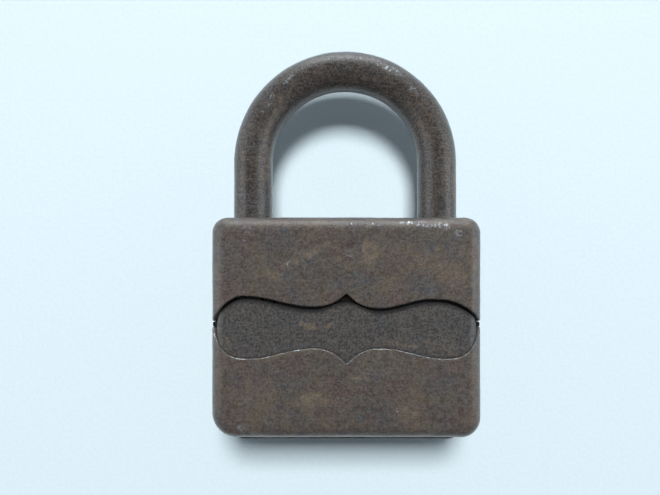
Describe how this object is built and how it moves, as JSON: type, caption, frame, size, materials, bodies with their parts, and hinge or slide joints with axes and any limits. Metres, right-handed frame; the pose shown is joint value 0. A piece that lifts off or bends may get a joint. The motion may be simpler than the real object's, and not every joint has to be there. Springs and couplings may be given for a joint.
{
  "type": "padlock",
  "caption": "Old browned-steel padlock: drawn shell with a scroll-edged waist plate, round shackle that lifts, pin-tumbler cylinder in the bottom end.",
  "frame": {"origin": "on the plane of the back face, under the middle of the whole lock as it lies on its back", "axes": "+X across the body to the toe side, +Y from the keyhole end towards the shackle, +Z out of the front face"},
  "size_m": [0.0508, 0.0762, 0.02],
  "materials": {
    "browned_steel": "rust-browned sheet steel with dark patina and worn edges",
    "browned_bar_steel": "rust-browned round bar, rubbed smooth",
    "cast_case_steel": "dark oxidised, matt",
    "lock_brass": "tarnished turned brass",
    "turned_steel": "turned, oiled",
    "spring_steel": "drawn wire, blued"
  },
  "bodies": {
    "case": {"upper_shell": "browned_steel", "lower_shell": "browned_steel", "front_waist_plate": "browned_steel", "rear_waist_plate": "browned_steel", "keyhole_plate": "browned_steel", "plate_rivet_1": "browned_steel", "plate_rivet_2": "browned_steel", "case_front": "cast_case_steel", "case_back": "cast_case_steel", "case_rivet_1": "turned_steel", "case_rivet_2": "turned_steel", "case_rivet_3": "turned_steel", "case_rivet_4": "turned_steel", "shackle_retaining_pin": "turned_steel", "shackle_spring": "spring_steel", "toe_bolt_spring": "spring_steel", "heel_bolt_spring": "spring_steel", "cylinder_housing": "lock_brass", "chamber_cover": "lock_brass", "cylinder_screw": "turned_steel", "pin_spring_1": "spring_steel", "pin_spring_2": "spring_steel", "pin_spring_3": "spring_steel", "pin_spring_4": "spring_steel", "pin_spring_5": "spring_steel"},
    "shackle": {"shackle": "browned_bar_steel"},
    "plug": {"plug": "lock_brass", "plug_clip": "spring_steel", "cam_spindle": "turned_steel"},
    "toe_bolt": {"toe_bolt": "turned_steel"},
    "heel_bolt": {"heel_bolt": "turned_steel"},
    "key_pin_1": {"key_pin_1": "lock_brass"},
    "key_pin_2": {"key_pin_2": "lock_brass"},
    "key_pin_3": {"key_pin_3": "lock_brass"},
    "key_pin_4": {"key_pin_4": "lock_brass"},
    "key_pin_5": {"key_pin_5": "lock_brass"},
    "driver_pin_1": {"driver_pin_1": "turned_steel"},
    "driver_pin_2": {"driver_pin_2": "turned_steel"},
    "driver_pin_3": {"driver_pin_3": "turned_steel"},
    "driver_pin_4": {"driver_pin_4": "turned_steel"},
    "driver_pin_5": {"driver_pin_5": "turned_steel"}
  },
  "joints": [
    {"name": "shackle_lift", "type": "slide", "parent": "case", "child": "shackle", "axis": [0, 1, 0], "range_m": [0, 0.013], "deforming": ["shackle_spring"]},
    {"name": "plug_turn", "type": "hinge", "parent": "case", "child": "plug", "pos_m": [0, 0, 0.01], "axis": [0, 1, 0], "range_deg": [-90, 0]},
    {"name": "toe_bolt_slide", "type": "slide", "parent": "case", "child": "toe_bolt", "axis": [1, 0, 0], "range_m": [0, 0.0023], "deforming": ["toe_bolt_spring"]},
    {"name": "heel_bolt_slide", "type": "slide", "parent": "case", "child": "heel_bolt", "axis": [-1, 0, 0], "range_m": [0, 0.0023], "deforming": ["heel_bolt_spring"]},
    {"name": "key_pin_1_drop", "type": "slide", "parent": "plug", "child": "key_pin_1", "axis": [-1, 0, 0], "range_m": [0, 0.0028]},
    {"name": "driver_pin_1_drop", "type": "slide", "parent": "case", "child": "driver_pin_1", "axis": [-1, 0, 0], "range_m": [0, 0.0028], "deforming": ["pin_spring_1"]},
    {"name": "key_pin_2_drop", "type": "slide", "parent": "plug", "child": "key_pin_2", "axis": [-1, 0, 0], "range_m": [0, 0.0016]},
    {"name": "driver_pin_2_drop", "type": "slide", "parent": "case", "child": "driver_pin_2", "axis": [-1, 0, 0], "range_m": [0, 0.0016], "deforming": ["pin_spring_2"]},
    {"name": "key_pin_3_drop", "type": "slide", "parent": "plug", "child": "key_pin_3", "axis": [-1, 0, 0], "range_m": [0, 0.0022]},
    {"name": "driver_pin_3_drop", "type": "slide", "parent": "case", "child": "driver_pin_3", "axis": [-1, 0, 0], "range_m": [0, 0.0022], "deforming": ["pin_spring_3"]},
    {"name": "key_pin_4_drop", "type": "slide", "parent": "plug", "child": "key_pin_4", "axis": [-1, 0, 0], "range_m": [0, 0.0013]},
    {"name": "driver_pin_4_drop", "type": "slide", "parent": "case", "child": "driver_pin_4", "axis": [-1, 0, 0], "range_m": [0, 0.0013], "deforming": ["pin_spring_4"]},
    {"name": "key_pin_5_drop", "type": "slide", "parent": "plug", "child": "key_pin_5", "axis": [-1, 0, 0], "range_m": [0, 0.0025]},
    {"name": "driver_pin_5_drop", "type": "slide", "parent": "case", "child": "driver_pin_5", "axis": [-1, 0, 0], "range_m": [0, 0.0025], "deforming": ["pin_spring_5"]}
  ],
  "couplings": [
    {"joint": "toe_bolt_slide", "follows": "plug_turn", "m_per_rad": -0.001464},
    {"joint": "heel_bolt_slide", "follows": "plug_turn", "m_per_rad": -0.001464},
    {"joint": "driver_pin_1_drop", "follows": "key_pin_1_drop", "ratio": 1},
    {"joint": "driver_pin_2_drop", "follows": "key_pin_2_drop", "ratio": 1},
    {"joint": "driver_pin_3_drop", "follows": "key_pin_3_drop", "ratio": 1},
    {"joint": "driver_pin_4_drop", "follows": "key_pin_4_drop", "ratio": 1},
    {"joint": "driver_pin_5_drop", "follows": "key_pin_5_drop", "ratio": 1}
  ]
}
